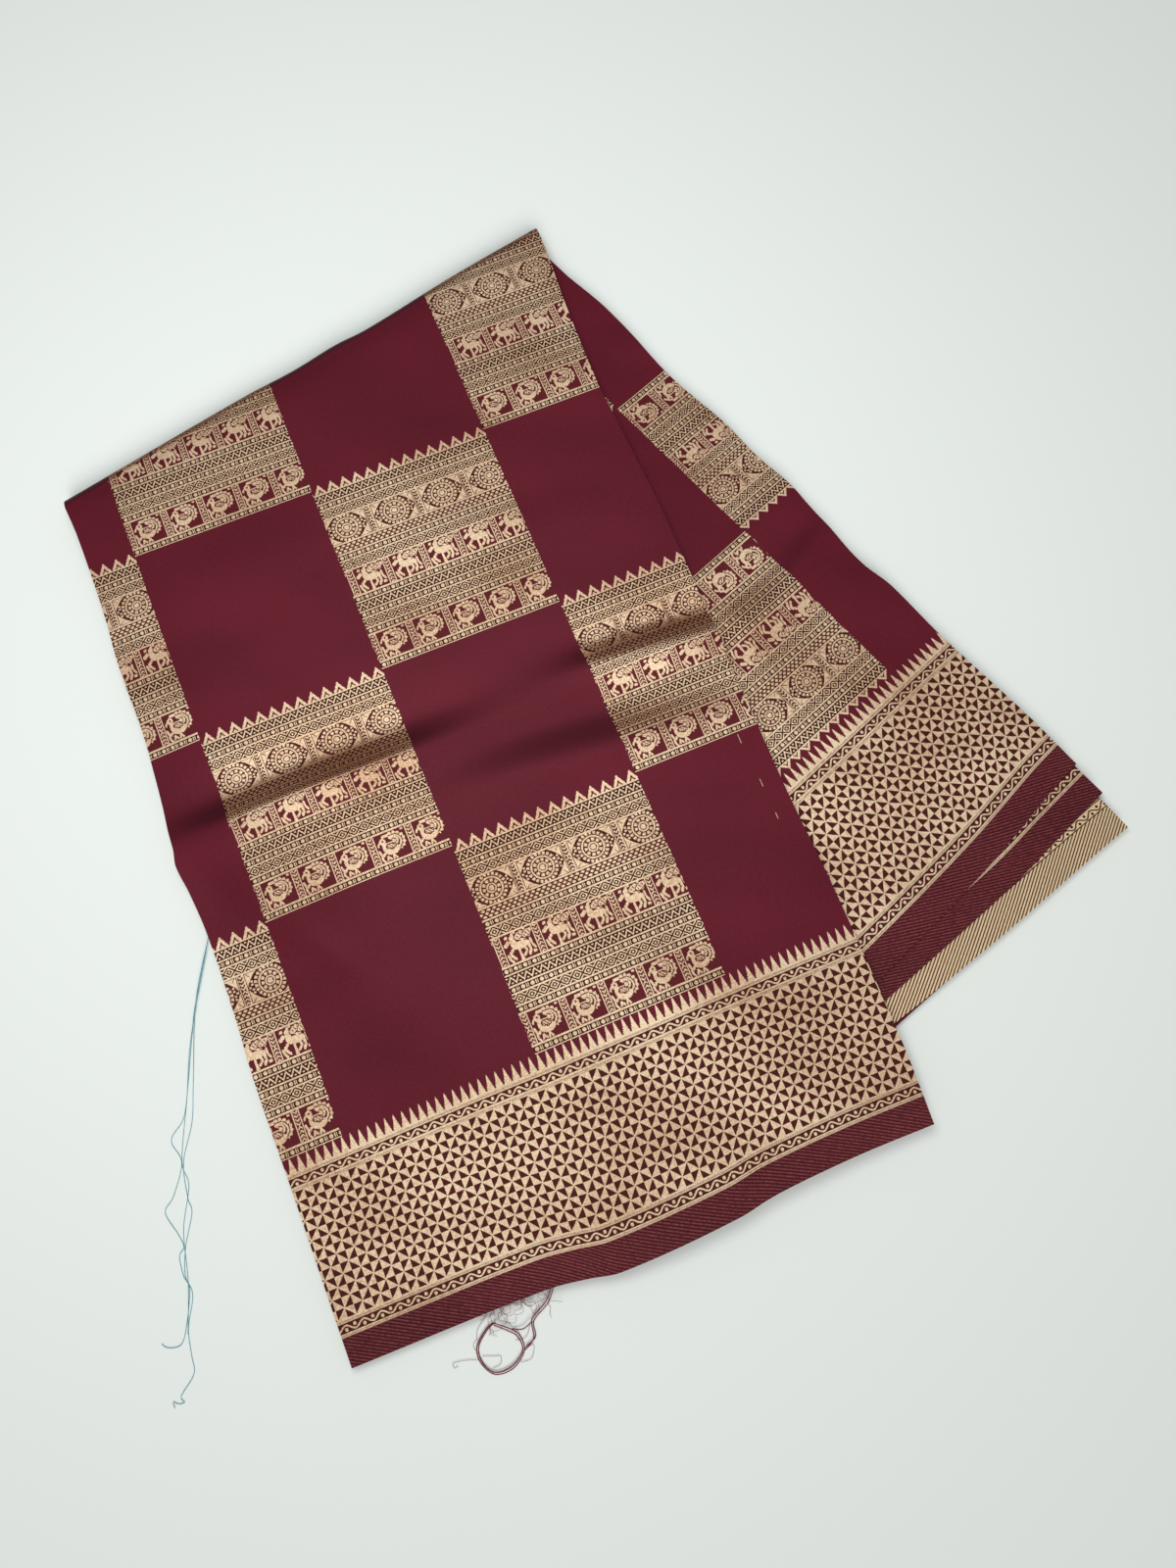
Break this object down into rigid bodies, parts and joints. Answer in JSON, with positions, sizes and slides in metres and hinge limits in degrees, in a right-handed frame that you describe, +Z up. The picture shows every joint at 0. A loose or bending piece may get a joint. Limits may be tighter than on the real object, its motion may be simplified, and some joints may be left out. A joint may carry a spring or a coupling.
{
  "type": "folded silk saree",
  "caption": "Maroon and gold woven silk saree folded lengthwise and once across, lying with its front half over the fanned-out back half.",
  "frame": {"origin": "on the resting surface, below the middle of the folded cloth's bounding box", "axes": "+Z up from the surface; +Y from the front hem towards the fold across; +X to the right, towards the back half's hem"},
  "size_m": [0.6637, 0.7197, 0.0196],
  "materials": {
    "maroon_silk": "soft satin woven silk with gold brocade checks and border",
    "gold_floats": "wrong side of the selvedge, gold weft floats with dark diagonal lines"
  },
  "bodies": {
    "root": {"front_panel": "maroon_silk", "front_layers": "maroon_silk", "back_panel": "maroon_silk", "back_second_layer": "maroon_silk", "back_third_layer": "gold_floats", "back_layers": "maroon_silk"}
  },
  "joints": []
}
